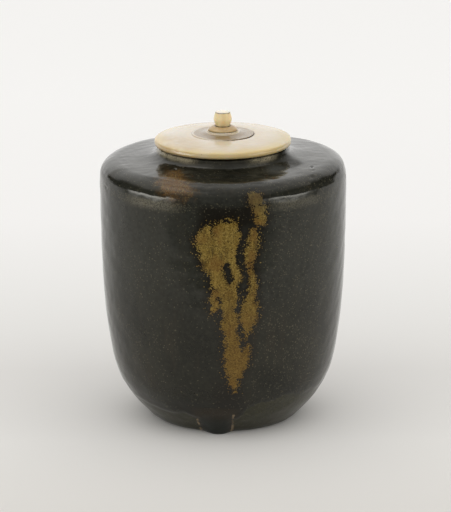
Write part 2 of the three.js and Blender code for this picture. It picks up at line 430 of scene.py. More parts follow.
GOLD_SLIT = [(-2.3, 53.2), (-1.6, 52.8), (-0.9, 50.4), (-0.6, 48.2), (-1.2, 48.6), (-1.9, 50.8)]
GOLD_NOTCH = [(-4.3, 73.4), (-3.3, 74.0), (-3.1, 71.1), (-3.4, 68.6), (-3.9, 70.4)]
STRAND_TOP = [(7.8, 81.5), (9.4, 82.2), (11.1, 81.3), (11.8, 78.7), (12.4, 76.3), (12.7, 73.8),
              (11.7, 71.9), (10.4, 72.1), (9.5, 73.5), (9.7, 75.3), (9.0, 77.0), (8.2, 78.5), (7.6, 80.1)]
STRAND_MIDDLE = [(8.0, 70.0), (9.2, 71.1), (10.1, 69.5), (10.6, 67.3), (9.9, 64.7), (9.0, 62.4),
                 (8.2, 60.2), (7.2, 60.1), (6.7, 61.8), (6.4, 64.0), (7.1, 66.2), (7.5, 68.3)]
STRAND_LEAF = [(8.1, 59.8), (9.1, 58.6), (9.6, 55.6), (9.5, 52.3), (9.0, 50.5), (10.0, 48.6), (10.3, 45.7),
               (9.4, 43.1), (8.2, 41.6), (7.3, 39.0), (6.4, 37.3), (5.9, 39.1), (5.4, 41.2), (4.8, 43.1),
               (4.7, 45.2), (5.2, 47.2), (6.2, 48.9), (7.0, 50.7), (7.6, 53.7), (7.8, 56.2), (7.8, 58.6)]
RUST_PATCH = [(-20, 81.8), (-20.8, 86), (-18.5, 90), (-17.8, 94.5), (-12.6, 96), (-11.6, 91), (-9.6, 86),
              (-8.4, 82), (-10.5, 80), (-14, 79.6), (-18, 80.2)]
DRIP_LEFT = [(-8.3, 12.6), (-8.2, 9), (-7.8, 6.3), (-7.3, 4.1), (-6.9, 0.2)]
DRIP_RIGHT = [(3.4, 13.4), (2.9, 10.7), (2.4, 7.6), (2.6, 5.3), (2.1, 0.2)]
# Where the glaze thins out above the foot: (degrees to the right of the front, length up)
GLAZE_EDGE = [(-180, 11), (-150, 14), (-120, 10.5), (-100, 15), (-85, 16), (-70, 13.6), (-52, 11.2),
              (-34, 10.4), (-24, 9.6), (-19, 8), (9, 9), (13, 13), (22, 15.5), (34, 16), (48, 15), (62, 16),
              (76, 17.5), (90, 18.5), (115, 12), (150, 13), (180, 11)]
# Burst bubbles in the glaze: (degrees to the right, length up, radius, depth)
PITS = [(-38, 96.0, 0.8, 0.25), (60.3, 88.5, 0.9, 0.3), (56, 86.5, 0.6, 0.2), (49, 84.1, 0.9, 0.25),
        (44, 82.6, 0.6, 0.2), (-70.2, 77.9, 0.8, 0.35), (-31, 83.6, 0.6, 0.2), (-26, 81.2, 0.5, 0.2),
        (82, 79, 0.7, 0.3), (130, 86, 0.8, 0.25), (-150, 60, 0.7, 0.2), (160, 42, 0.8, 0.25),
        (-112, 30, 0.6, 0.2), (105, 24, 0.6, 0.2), (-165, 90, 0.7, 0.2)]
DRIP_TOP = 14
FAR = 9.0           # stands for any distance to a line that is too large to matter


def gap_to_line(points, closed):
    """Distance from each point of the outside, measured over its surface, to a drawn line.
    Inside a closed line it is negative."""
    corners = np.array(points, float)
    ends = np.roll(corners, -1, 0) if closed else corners[1:]
    best = np.full(ARC.shape, FAR)
    low, high = corners.min(0) - 5, corners.max(0) + 5
    near = on_outside & (ACROSS > low[0]) & (ACROSS < high[0]) & (ARC > low[1]) & (ARC < high[1])
    x, y = ACROSS[near], ARC[near]
    gap = np.full(x.shape, FAR)
    odd = np.zeros(x.shape, bool)
    for (ax, ay), (bx, by) in zip(corners, ends):
        dx, dy = bx - ax, by - ay
        t = np.clip(((x - ax) * dx + (y - ay) * dy) / (dx * dx + dy * dy), 0, 1)
        gap = np.minimum(gap, np.hypot(x - ax - t * dx, y - ay - t * dy))
        if closed and ay != by:
            odd ^= ((ay > y) != (by > y)) & (x < ax + (y - ay) * dx / dy)
    best[near] = np.where(odd, -gap, gap)
    return best


def depth_in(*outlines):
    """How far inside any of the outlines a point is; negative outside them."""
    return np.max([-gap_to_line(outline, True) for outline in outlines], 0)


def drip_side(points):
    """How far to the right one side of the drip is at each height."""
    return np.interp(ARC, *np.array(points, float)[::-1, ::-1].T)


gold_depth = np.minimum(depth_in(GOLD_RUN), -depth_in(GOLD_HOLE, GOLD_SLIT, GOLD_NOTCH))
gold_depth = np.maximum(gold_depth, depth_in(STRAND_TOP, STRAND_MIDDLE, STRAND_LEAF) - 0.15)
rust_depth = depth_in(RUST_PATCH)
edge_height = np.interp(np.degrees(ANGLE), *np.array(GLAZE_EDGE, float).T)
edge_height += 0.5 * waves(SPACE * (1, 1, 0), 9.0, 5)
drip_depth = np.minimum(ACROSS - drip_side(DRIP_LEFT), drip_side(DRIP_RIGHT) - ACROSS)
drip_depth = np.where((ARC < DRIP_TOP) & on_outside, drip_depth, -5)
glaze_depth = np.maximum(ARC - edge_height, drip_depth)
hair_gap = np.minimum(gap_to_line(DRIP_LEFT[1:], False), gap_to_line(DRIP_RIGHT[1:], False))

jar_fields = {
    "gold": gold_depth, "rust": rust_depth, "glazed": glaze_depth, "drip": drip_depth, "hair": hair_gap,
    "arc": ARC, "inner": is_inside * 1.0, "under": is_base * 1.0,
    "lip": bell(ARC, arc[lip_row] - 0.7, 1.9),
}

# Jar: the small forms that stand out from its profile or into it

BEAD_DEPTH, BEAD_HEIGHT, BEAD_MIDDLE, BEAD_HALF_WIDTH = 1.7, 7.0, -1.8, 5.0
CUT_DEPTH, CUT_SPACING, CUT_CENTRE, CUT_RADIUS = 0.11, 1.9, (-4.5, 3.0), 19.5
THROWING_RING, INNER_RING = 5.2, 6.5
BOX_INSET = 0.21    # holds the uneven outside within the solid's box


def pit(angle, length, radius, depth):
    """A burst bubble in the glaze, with a low rim."""
    where = np.radians(angle) * np.interp(length, arc[foot_row:lip_row], jar_profile[foot_row:lip_row, 0])
    away = np.hypot(ACROSS - where, ARC - length) / radius
    return on_outside * (0.25 * depth * bell(away, 1.25, 0.7) - depth * bell(away, 0, 1.0))


def bead_swell():
    """The bead of glaze that hangs in front at the foot."""
    rise = np.clip(HEIGHT / BEAD_HEIGHT, 0, 1)
    across = bell(ACROSS, BEAD_MIDDLE, BEAD_HALF_WIDTH)
    return BEAD_DEPTH * across * np.sin(math.pi * rise ** 0.3) * on_outside


def string_cut():
    """The swirl that a twisted string leaves under the foot."""
    x, y = SPACE[..., 0] - CUT_CENTRE[0], SPACE[..., 1] - CUT_CENTRE[1]
    ridges = np.hypot(x, y) / CUT_SPACING + np.arctan2(y, x) / TURN + 0.12 * waves(SPACE, 9.0, 8)
    from_axis = SPACE[..., 0] ** 2 + SPACE[..., 1] ** 2
    cover = is_base * smoothstep(from_axis, (FOOT_RADIUS - 0.5) ** 2, CUT_RADIUS ** 2)
    return -CUT_DEPTH * (0.5 + 0.5 * np.cos(TURN * ridges)) * cover


def outside_swell():
    """Throwing rings, an uneven wall, the thickness of the glaze and two soft forms at the neck."""
    ring = np.sin(TURN * ARC / THROWING_RING + ANGLE)
    ring = ring + 0.5 * np.sin(2 * TURN * ARC / THROWING_RING + 2 * ANGLE + 1.0)
    uneven = 0.05 * waves(SPACE, 34.0, 1) + 0.022 * waves(SPACE, 7.0, 2) + 0.01 * waves(SPACE, 2.6, 3)
    thickness = 0.09 * smoothstep(gold_depth, -1.4, 1.2) + 0.05 * smoothstep(rust_depth, -2.0, 1.5)
    edge = 0.12 * smoothstep(glaze_depth, -0.6, 1.1)
    edge = edge + 0.05 * bell(glaze_depth, 1.2, 1.5) * smoothstep(ANGLE, 0.3, -0.3)
    raised_right = 0.6 * bell(ANGLE, 1.5, 1.3) * bell(HEIGHT, 78.6, 3.0)
    front_hollow = smoothstep(HEIGHT, 77.0, 79.2) * smoothstep(HEIGHT, 81.6, 80.6) * bell(ANGLE, 0, 1.6)
    forms = (0.009 * ring * (0.6 + 0.4 * np.sin(ARC / 9.0)) + uneven + thickness + edge + raised_right
             - 0.2 * front_hollow - BOX_INSET)
    return on_outside * forms * smoothstep(ARC, 0, 1.6)


def inside_swell():
    """Throwing rings inside, fading out at the mouth and on the floor."""
    ring = 0.22 * np.sin(TURN * ARC / INNER_RING + ANGLE)
    below_mouth = is_inside * smoothstep(HEIGHT, ceiling, ceiling - 4)
    return ring * below_mouth * smoothstep(ARC, arc[-1] - 4, arc[-1] - 16)


def jar_mesh():
    swell = outside_swell() + inside_swell() + bead_swell() + string_cut()
    swell = swell + sum(pit(*values) for values in PITS)
    widest = BELLY_RADIUS - 0.01 - jar_r
    at_belly = on_outside & (HEIGHT > 30) & (HEIGHT < 77)
    swell = np.minimum(swell, np.where(at_belly, widest, FAR))
    return lathe_mesh("jar_body", jar_profile, angles, swell, jar_fields)


# Jar: glaze. Colours are in linear light.

OLIVE_BLACK, OLIVE = (0.0088, 0.009, 0.0062), (0.0185, 0.0178, 0.0122)
BROWN_STREAK, OLIVE_FLECK = (0.03, 0.022, 0.013), (0.03, 0.029, 0.02)
GREY_WALL, BLACK_WALL = (0.031, 0.032, 0.026), (0.006, 0.0058, 0.0035)
RUN_HALO, RUN_SHADOW = (0.0085, 0.0062, 0.004), (0.008, 0.0062, 0.004)
# The dust colour is partly a painted highlight under the shoulder's corner.
DUST_AND_SHEEN, TAN_DOT, LIGHT_SPECK = (0.17, 0.156, 0.116), (0.11, 0.098, 0.062), (0.2, 0.18, 0.125)
DARK_RUST, LIGHT_RUST, RUST_GRAIN = (0.068, 0.031, 0.007), (0.185, 0.09, 0.02), (0.19, 0.14, 0.045)
DRIP_SURROUND, DRIP_BLACK = (0.026, 0.018, 0.009), (0.0085, 0.0115, 0.0095)
# The lip's tan is partly painted light on its lit sides, and the grey glaze colour after it is a painted
# highlight right of the neck.
LIP_TAN_AND_LIGHT, PAINTED_GLARE = (0.48, 0.42, 0.28), (0.075, 0.076, 0.068)
DEEP_OCHRE, LIGHT_OCHRE = (0.14, 0.083, 0.013), (0.215, 0.143, 0.028)
OCHRE_GRAIN, OCHRE_PIT = (0.34, 0.245, 0.066), (0.036, 0.021, 0.005)
DARK_THREAD, LIGHT_THREAD, WARM_OCHRE = (0.055, 0.036, 0.01), (0.31, 0.205, 0.045), (0.165, 0.08, 0.016)
BROWN_OCHRE, RED_OCHRE, DULL_OCHRE = (0.078, 0.04, 0.006), (0.185, 0.104, 0.021), (0.06, 0.05, 0.026)
THIN_DARK, THIN_LIGHT, HAIRLINE = (0.024, 0.023, 0.01), (0.058, 0.055, 0.025), (0.205, 0.15, 0.088)
DARK_CLAY, LIGHT_CLAY, CLAY_SPECK = (0.105, 0.062, 0.04), (0.205, 0.13, 0.085), (0.035, 0.022, 0.015)

# Stretches of the profile, in mm up from the foot's edge: where a layer starts, where it is full and,
# if it ends again, where it fades and is gone
UPPER_WALL, ABOVE_RUN = (34.0, 62.0, 78.0, 84.0), (70.0, 73.5, 77.0, 79.0)
UNDER_CORNER = (75.0, 77.3, 78.0, 79.3)
LOWER_WALL, BELOW_RUN, SPECKED_WALL = (27.0, 12.0), (28.0, 20.0), (22.0, 48.0)
# Places on the ground plan, in metres to the right and back from the axis
# The two dust places under the corner are partly painted highlights, the left one stronger.
RUN_MIDDLE, SHEEN_DUST_LEFT, SHEEN_DUST_RIGHT = 0.0008, -0.0205, 0.0215
# The first place is the middle of a painted highlight right of the neck.
GLARE_PLACE, SHADED_NOOK_PLACE = (0.0168, -0.0185), (0.0174, -0.0112)
# The middle of the dark ring in front of the neck, in mm up the profile, where the shine is lowered as
# painted shade
NECK_RING = 92.6


def glaze_inputs(n):
    """What the layers are worked out from: places, random patterns and the fields of the mesh."""
    where = n.coordinates()
    x, y, _ = n.xyz(where)
    pick, tone, other = n.grains(where, 3900)[1]
    return SimpleNamespace(
        where=where, x=x, y=y, pick=pick, tone=tone, other=other,
        grain=n.math("SUBTRACT", n.noise(where, 2600, 1.0), 0.5),
        wobble=n.math("SUBTRACT", n.noise(where, 520, 2.0), 0.5),
        cloud=n.noise(where, 70, 3.0, 0.55),
        fine=n.noise(where, 900, 3.0, 0.6),
        streak=n.noise(n.stretch(where, 1, 1, 0.09), 330, 3.0, 0.6),
        **{name: n.field(name) for name in jar_fields})


def dark_glaze(n, jar):
    """Olive black, browner in soft upright streaks, greyer up the wall, and darker round the run."""
    upper = n.smooth(jar.fine, 0.25, 0.6, 0.3, 0.75)
    trail = n.times(n.smooth(jar.from_run, 0.006, 0.002), n.smooth(jar.arc, *BELOW_RUN))
    return n.coats(
        n.mix(n.smooth(jar.cloud, 0.35, 0.65), OLIVE_BLACK, OLIVE),
        (n.smooth(jar.streak, 0.48, 0.72), 0.35, BROWN_STREAK),
        (n.smooth(jar.fine, 0.42, 0.7), 0.4, OLIVE_FLECK),
        (n.between(jar.arc, *UPPER_WALL), upper, GREY_WALL),
        (n.smooth(jar.arc, *LOWER_WALL), 0.45, BLACK_WALL),
        (n.smooth(jar.gold, -3.6, -0.2), 0.75, RUN_HALO),
        (n.math("MAXIMUM", jar.brow, trail), 0.8, RUN_SHADOW),
    )


def flecks(n, jar, colour):
    """Dusty patches under the corner that are partly a painted highlight, tan dots that are denser to the
    right, and a few light specks.
    """
    glow = n.times(n.between(jar.arc, *UNDER_CORNER), n.total(1.0, n.times(jar.brow, -0.85)))
    # Painted highlight: the dust under the corner is laid on most at these two places, more at the left.
    dusty_sheen = n.total(n.times(n.smooth(n.gap(jar.x, SHEEN_DUST_LEFT), 0.01, 0.003), 0.9),
                    n.times(n.smooth(n.gap(jar.x, SHEEN_DUST_RIGHT), 0.009, 0.003), 0.45))
    share = n.total(0.012, n.times(n.smooth(jar.cloud, 0.4, 0.7), 0.03),
                    n.times(n.smooth(jar.x, -0.002, 0.02), 0.035), n.times(glow, 0.16))
    dots = n.times(n.math("LESS_THAN", jar.pick, share), n.smooth(jar.tone, 0.0, 0.9, 0.35, 1.0))
    specked = n.times(n.smooth(jar.cloud, 0.42, 0.6), n.smooth(jar.arc, *SPECKED_WALL), 0.06)
    return n.coats(
        colour,
        (n.times(glow, dusty_sheen), n.smooth(jar.grain, -0.2, 0.25, 0.2, 1.0), DUST_AND_SHEEN),
        (dots, 0.8, TAN_DOT),
        (n.specks(jar.where, 1900, 0.13, specked), 0.5, LIGHT_SPECK),
    )


def rust_patch(n, jar, colour):
    """Reddish brown on the shoulder, breaking up into grains. Also returns where it lies."""
    cover = n.smooth(n.total(jar.rust, n.times(jar.wobble, 6.0)), -2.4, 2.6)
    grains = n.math("LESS_THAN", jar.other, n.times(cover, 0.8))
    mask = n.times(cover, n.total(0.4, n.times(grains, 0.4)))
    rusty = n.mix(jar.tone, DARK_RUST, LIGHT_RUST)
    rusty = n.mix(n.math("LESS_THAN", jar.pick, 0.1), rusty, RUST_GRAIN)
    return n.mix(mask, colour, rusty), mask


def drip_and_lip(n, jar, colour):
    """Black glaze in the drip, browner round it, a worn tan lip that is partly painted light, and a painted
    highlight right of the neck.
    """
    worn = n.smooth(n.total(n.times(jar.wobble, 0.5), jar.grain), -0.35, 0.2)
    lit_beside_front = n.total(0.04, n.times(n.smooth(n.gap(jar.x, 0.0), 0.006, 0.0115), 0.94))
    # Painted highlight: a grey patch right of the neck stands in for glare on the glaze.
    glare = n.smooth(n.away(jar.where, *GLARE_PLACE), 0.006, 0.0015)
    return n.coats(
        colour,
        (n.times(n.smooth(jar.drip, -2.5, 0.6), n.smooth(jar.arc, 17.0, 12.0)), 0.6, DRIP_SURROUND),
        (n.times(n.smooth(jar.drip, 0.2, 1.6), n.smooth(jar.arc, 12.0, 6.0)), 0.85, DRIP_BLACK),
        # The lip's tan is partly worn glaze and partly painted light: full at the lit sides, left out in
        # front and at the right, where the lip lies in shade.
        (n.times(jar.lip, worn, lit_beside_front), n.smooth(jar.x, 0.017, 0.0135), LIP_TAN_AND_LIGHT),
        (n.times(glare, n.smooth(jar.arc, 86.0, 88.0)), 0.7, PAINTED_GLARE),
    )


def ochre_run(n, jar, colour):
    """The ochre run, threaded and browner down its length, breaking up into grains at its edges.
    Also returns where it lies."""
    edge = n.total(jar.gold, n.times(jar.wobble, 3.4))
    cover = n.total(n.times(n.smooth(edge, -1.1, 0.7), 0.97), n.times(n.smooth(edge, -3.0, -0.8), 0.05))
    mask = n.math("LESS_THAN", jar.pick, cover)
    threads = n.noise(n.stretch(jar.where, 1, 1, 0.16), 900, 3.0, 0.6, 0.3)
    ochre = n.coats(
        n.mix(n.smooth(n.noise(jar.where, 190, 3.0), 0.35, 0.65), DEEP_OCHRE, LIGHT_OCHRE),
        (n.smooth(jar.tone, 0.5, 1.0), 0.85, OCHRE_GRAIN),
        (n.smooth(jar.tone, 0.42, 0.0), 0.8, OCHRE_PIT),
        (n.smooth(threads, 0.52, 0.7), 0.7, DARK_THREAD),
        (n.smooth(threads, 0.46, 0.3), 0.5, LIGHT_THREAD),
        (n.smooth(n.noise(jar.where, 170, 2.0), 0.52, 0.66), 0.5, WARM_OCHRE),
        (n.smooth(jar.arc, 62.0, 32.0), 0.75, n.mix(jar.tone, BROWN_OCHRE, RED_OCHRE)),
        (n.smooth(jar.arc, 74.0, 78.5), 0.55, DULL_OCHRE),
    )
    return n.coats(colour, (mask, 0.97, ochre)), mask


def glaze_ends(n, jar, colour):
    """Thin glaze below its edge, hairlines beside the drip, and bare clay underneath and low inside.
    Also returns where it is thin and where bare."""
    thin = n.smooth(n.total(jar.glazed, jar.wobble), 0.35, -0.35)
    hair = n.total(jar.hair, n.times(jar.wobble, 1.6), n.times(jar.grain, 0.5))
    bare = n.smooth(n.total(jar.under, n.times(jar.wobble, 0.5), n.times(jar.grain, 0.4)), 0.4, 0.52)
    clay = n.coats(n.mix(n.smooth(n.noise(jar.where, 450, 4.0, 0.6), 0.3, 0.7), DARK_CLAY, LIGHT_CLAY),
                   (n.specks(jar.where, 900, 0.3, 0.12), 0.8, CLAY_SPECK))
    colour = n.coats(
        colour,
        (thin, 0.48, n.mix(jar.fine, THIN_DARK, THIN_LIGHT)),
        (n.smooth(hair, 0.42, 0.12), 0.8, HAIRLINE),
        (bare, 1.0, clay),
        (n.times(n.smooth(jar.inner, 0.2, 0.8), n.smooth(jar.arc, 150.0, 190.0)), 0.7, clay),
    )
    return colour, thin, bare


def glaze_material():
    material, n = new_material("iron_glaze")
    jar = glaze_inputs(n)
    jar.from_run = n.gap(jar.x, RUN_MIDDLE)
    jar.brow = n.times(n.smooth(jar.from_run, 0.0105, 0.0055), n.between(jar.arc, *ABOVE_RUN))
    colour = flecks(n, jar, dark_glaze(n, jar))
    colour, rust = rust_patch(n, jar, colour)
    colour, run = ochre_run(n, jar, drip_and_lip(n, jar, colour))
    colour, thin, bare = glaze_ends(n, jar, colour)

    # Roughness, shine and fine relief. The shine is lowered in front of the neck and beside it on the right
    # under the lid's edge, as painted shade that darkens what the glaze mirrors there.
    matt = n.total(n.times(run, 0.24), n.times(rust, 0.1), n.times(thin, 0.12), n.times(bare, 0.55))
    rough = n.total(0.12, n.times(n.math("SUBTRACT", n.noise(jar.where, 150, 3.0), 0.5), 0.1), matt)
    shaded_front = n.times(n.smooth(jar.arc, 84.6, 86.4), n.smooth(jar.y, -0.019, -0.026),
                   n.smooth(jar.x, 0.0145, 0.0105),
                   n.smooth(n.gap(jar.arc, NECK_RING), 0.8, 2.4, 0.55, 1.0))
    # Painted shade: the shine is lowered under the lid's right edge.
    shaded_nook = n.times(n.smooth(n.away(jar.where, *SHADED_NOOK_PLACE), 0.0078, 0.0048),
                   n.smooth(jar.arc, 90.0, 93.0), 1.15)
    shine = n.total(0.5, n.times(run, -0.15), n.times(n.math("MAXIMUM", shaded_front, shaded_nook), -0.38),
                    n.times(jar.brow, -0.2))
    relief = n.total(0.15, n.times(run, 0.7), n.times(thin, 0.5), n.times(bare, 1.5))
    height = n.total(n.times(n.noise(jar.where, 1700), 0.6), n.times(n.noise(jar.where, 480), 0.9),
                     n.times(jar.grain, relief))
    n.surface(Base_Color=colour, Roughness=rough, Normal=n.bump(height, 0.42, 0.00006), IOR=1.39,
              Specular_IOR_Level=shine, Specular_Tint=(1.0, 0.985, 0.92, 1))
    return material


# Lid, collar, knob and lining: sizes

LID_BOTTOM = LIP_TOP_HEIGHT + 0.3
LID_RADIUS, RIM_FLAT, RIM_THICKNESS, LID_CROWN = 20.4, 0.9, 2.1, 1.1
BOSS_FOOT_RADIUS, BOSS_RADIUS, BOSS_STEP, BOSS_HEIGHT = 9.3, 8.5, 0.18, 1.1
BOSS_OFFSET = 0.5   # the brown of the boss ends this much sooner at its left
TURNED_STEP_RADIUS, TURNED_STEP = 4.75, 0.5
SEAT_RADIUS, SOCKET_RADIUS, SOCKET_DEPTH = 4.6, 1.4, 2.9
RING_RADIUS, RING_THICKNESS, RING_DEPTH, RING_BEVEL = 16.3, 1.5, 2.0, 0.35
JOINT_DEPTH, JOINT_HALF_WIDTH = 0.16, 0.3
COLLAR_RADIUS, COLLAR_THICKNESS, COLLAR_EDGE, COLLAR_TOP_RADIUS = 4.5, 1.3, 0.28, 2.9
KNOB_FOOT_RADIUS, KNOB_RADIUS, KNOB_TOP_RADIUS = 2.05, 2.7, 2.25
KNOB_BELLY_HEIGHT, KNOB_BARREL, CAP_HEIGHT, GROOVE_WIDTH, GROOVE_DEPTH = 2.0, 4.0, 0.4, 0.2, 0.22
TENON_CLEARANCE = 0.3
LINING_OUTER, LINING_THICKNESS, LINING_SKIRT = 14.5, 0.25, 1.5
LID_COLUMNS, KNOB_COLUMNS, LINING_COLUMNS = 180, 96, 160

rim_top = LID_BOTTOM + RIM_THICKNESS
boss_foot = rim_top + LID_CROWN
seat = boss_foot + BOSS_HEIGHT
collar_top = seat + COLLAR_THICKNESS


def lid_profile():
    """From the middle of the underside round the ring, the rim and the boss into the socket."""
    rim_flat, rim_middle = LID_RADIUS - RIM_FLAT, LID_BOTTOM + RIM_THICKNESS / 2
    ring_inside, ring_end = RING_RADIUS - RING_THICKNESS, LID_BOTTOM - RING_DEPTH
    boss_edge, step_foot = boss_foot + BOSS_STEP, seat - TURNED_STEP
    return drawn(
        (0, LID_BOTTOM),
        (1.0, (ring_inside, LID_BOTTOM)),
        (0.4, (ring_inside, ring_end + RING_BEVEL)),
        (0.1, (ring_inside, ring_end), (ring_inside + RING_BEVEL, ring_end)),
        (0.3, (RING_RADIUS - RING_BEVEL, ring_end)),
        (0.1, (RING_RADIUS, ring_end), (RING_RADIUS, ring_end + RING_BEVEL)),
        (0.4, (RING_RADIUS, LID_BOTTOM)),
        (0.5, (rim_flat, LID_BOTTOM)),
        (0.15, (LID_RADIUS, LID_BOTTOM), (LID_RADIUS, rim_middle)),
        (0.15, (LID_RADIUS, rim_top), (rim_flat, rim_top)),
        (0.3, (14.6, boss_foot), (BOSS_FOOT_RADIUS, boss_foot)),
        (0.1, (BOSS_FOOT_RADIUS, boss_edge), (BOSS_RADIUS, boss_edge)),
        (0.15, (6.5, boss_edge), (TURNED_STEP_RADIUS + 0.25, step_foot)),
        (0.06, (TURNED_STEP_RADIUS, step_foot), (TURNED_STEP_RADIUS, seat - TURNED_STEP / 2)),
        (0.06, (TURNED_STEP_RADIUS, seat), (SEAT_RADIUS - 0.1, seat)),
        (0.2, (SOCKET_RADIUS, seat)),
        (0.8, (SOCKET_RADIUS, seat - SOCKET_DEPTH)),
        (0.7, (0, seat - SOCKET_DEPTH)),
    )


def lid_mesh():
    """The lid, with its joint line round the boss, faint turned rings, and the fields for its colours."""
    profile, angles = lid_profile(), lathe_columns(LID_COLUMNS, 0.2)
    r, z = profile[:, :1], profile[:, 1:]
    space = turned(r, z, angles)
    rim_row = np.argmax(profile[:, 0] > LID_RADIUS - 0.01)
    on_top = (np.arange(len(profile)) > rim_row)[:, None] & (r > SEAT_RADIUS - 0.2)
    degrees = np.degrees(angles)
    open_joint = smoothstep(degrees, -8, 25) * smoothstep(degrees, 112, 88)
    joint_line = bell(r, BOSS_FOOT_RADIUS + 0.02, JOINT_HALF_WIDTH) * on_top
    boss_r = np.maximum(r, np.hypot(space[..., 0] - BOSS_OFFSET, space[..., 1]))
    swell = on_top * (
        -JOINT_DEPTH * joint_line * (0.25 + open_joint)
        + 0.012 * np.sin(TURN * r / 1.7) + 0.02 * waves(space, 13.0, 11) + 0.006 * waves(space, 3.5, 12)
        - 0.05 * bell(r, BOSS_RADIUS - 1.6, 0.2) - 0.03
    ) - 0.02 * (r > RING_RADIUS)
    # Dark lines: darkened joints round the boss and at the turned step, and a painted shadow along the
    # underside of the rim.
    fields = {
        "dirt_and_shade": (joint_line * (0.25 + 1.45 * open_joint) + bell(r, 4.3, 0.32)
                 + 0.35 * bell(r, 5.0, 0.2) * on_top + 0.8 * bell(z, LID_BOTTOM, 0.6) * (r > 18.5)),
        "rim": smoothstep(r, 15.5, 20.3),
        "boss": (smoothstep(boss_r, BOSS_FOOT_RADIUS + 0.1, BOSS_FOOT_RADIUS - 0.4) * on_top
                 * smoothstep(r, TURNED_STEP_RADIUS + 0.1, TURNED_STEP_RADIUS + 0.5)),
        "middle": smoothstep(r, 9.6, 6.0) * smoothstep(r, 4.9, 5.4) * on_top,
        "front": 0.5 + 0.5 * np.cos(angles),
    }
    return lathe_mesh("lid_disc", profile, angles, swell, fields)


def collar_mesh():
    """The thin collar, an open ring round the tenon, with its joints darkened."""
    profile = drawn(
        (SOCKET_RADIUS, seat),
        (0.4, (SEAT_RADIUS - COLLAR_EDGE, seat)),
        (0.09, (COLLAR_RADIUS, seat), (COLLAR_RADIUS, seat + 2 * COLLAR_EDGE),
         (COLLAR_TOP_RADIUS, collar_top)),
        (0.15, (SOCKET_RADIUS, collar_top)),
        (0.4, (SOCKET_RADIUS, seat)),
    )[:-1]
    r, z = profile[:, :1], profile[:, 1:]
    on_top = z > seat + 0.25
    fields = {"dirt_and_shade": bell(r, 2.2, 0.45) * on_top + bell(z, seat, 0.22)}
    swell = -0.05 * bell(r, 2.35, 0.3) * on_top
    return lathe_mesh("collar_ring", profile, lathe_columns(KNOB_COLUMNS), swell, fields, closed=True)


def knob_mesh():
    """The barrel with its grooved cap, and the tenon below."""
    tenon_radius, tenon_end = SOCKET_RADIUS - TENON_CLEARANCE, seat - SOCKET_DEPTH + TENON_CLEARANCE
    foot, groove = collar_top, collar_top + KNOB_BARREL
    cap_foot = groove + GROOVE_WIDTH
    cap_top = cap_foot + CAP_HEIGHT
    barrel = spline([(KNOB_FOOT_RADIUS, foot), (KNOB_RADIUS, foot + KNOB_BELLY_HEIGHT),
                     (KNOB_TOP_RADIUS, groove)], 30)
    profile = chain(
        drawn((0, tenon_end), (0.5, (tenon_radius, tenon_end)), (0.8, (tenon_radius, foot)),
              (0.3, (KNOB_FOOT_RADIUS, foot))),
        evenly(barrel, 0.11),
        evenly([(KNOB_TOP_RADIUS, groove), (KNOB_TOP_RADIUS - GROOVE_DEPTH, groove + GROOVE_WIDTH / 2),
                (KNOB_TOP_RADIUS, cap_foot)], 0.05),
        drawn((KNOB_TOP_RADIUS, cap_foot), (0.11, (KNOB_TOP_RADIUS - CAP_HEIGHT, cap_top), (0, cap_top))),
    )
    r, z = profile[:, :1], profile[:, 1:]
    fields = {"dirt_and_shade": bell(z, groove + GROOVE_WIDTH / 2, 0.16) * (r > 1.5) + 0.8 * bell(z, foot, 0.28),
              "cap": smoothstep(z, groove, cap_foot + 0.1)}
    return lathe_mesh("knob_turned", profile, lathe_columns(KNOB_COLUMNS), fields=fields)


def lining_mesh():
    """The gold-leafed paper, pressed to a shallow cup and a little crumpled."""
    face_height, skirt_end = LID_BOTTOM - LINING_THICKNESS, LID_BOTTOM - LINING_SKIRT
    inner = LINING_OUTER - LINING_THICKNESS
    profile = drawn(
        (0, face_height),
        (0.35, (inner, face_height)),
        (0.3, (inner, skirt_end)),
        (0.2, (LINING_OUTER, skirt_end)),
        (0.4, (LINING_OUTER, LID_BOTTOM)),
        (2.0, (0, LID_BOTTOM)),
    )
    angles = lathe_columns(LINING_COLUMNS)
    space = turned(profile[:, :1], profile[:, 1:], angles)
    face = (np.arange(len(profile)) < np.argmax(profile[:, 0] > LINING_OUTER - 0.3))[:, None]
    swell = face * (0.035 * waves(space, 4.0, 21) + 0.02 * waves(space, 1.8, 22) - 0.06)
    return lathe_mesh("leaf_lining", profile, angles, swell)


# Lid, collar, knob and lining: ivory and gold leaf

RIM_IVORY, RIGHT_IVORY, BROWN_STAIN = (0.68, 0.525, 0.235), (0.54, 0.44, 0.22), (0.47, 0.31, 0.16)
# The boss's browns are patina, laid on more strongly towards the front and near the collar in front as
# painted shade.
BOSS_LIGHT, BOSS_DARK, BOSS_MIDDLE_PATINA_AND_SHADE = (0.335, 0.255, 0.16), (0.25, 0.175, 0.1), (0.25, 0.175, 0.085)
KNOB_STREAK, CAP_WHITE = (0.72, 0.48, 0.2), (0.92, 0.88, 0.76)
# Dark colour for darkened joints and for the painted shadow under the lid's rim.
JOINT_DIRT_AND_SHADE, IVORY_SPECK = (0.07, 0.038, 0.018), (0.3, 0.19, 0.09)
TURNED_LINES = 13000    # in radians for each metre from the axis


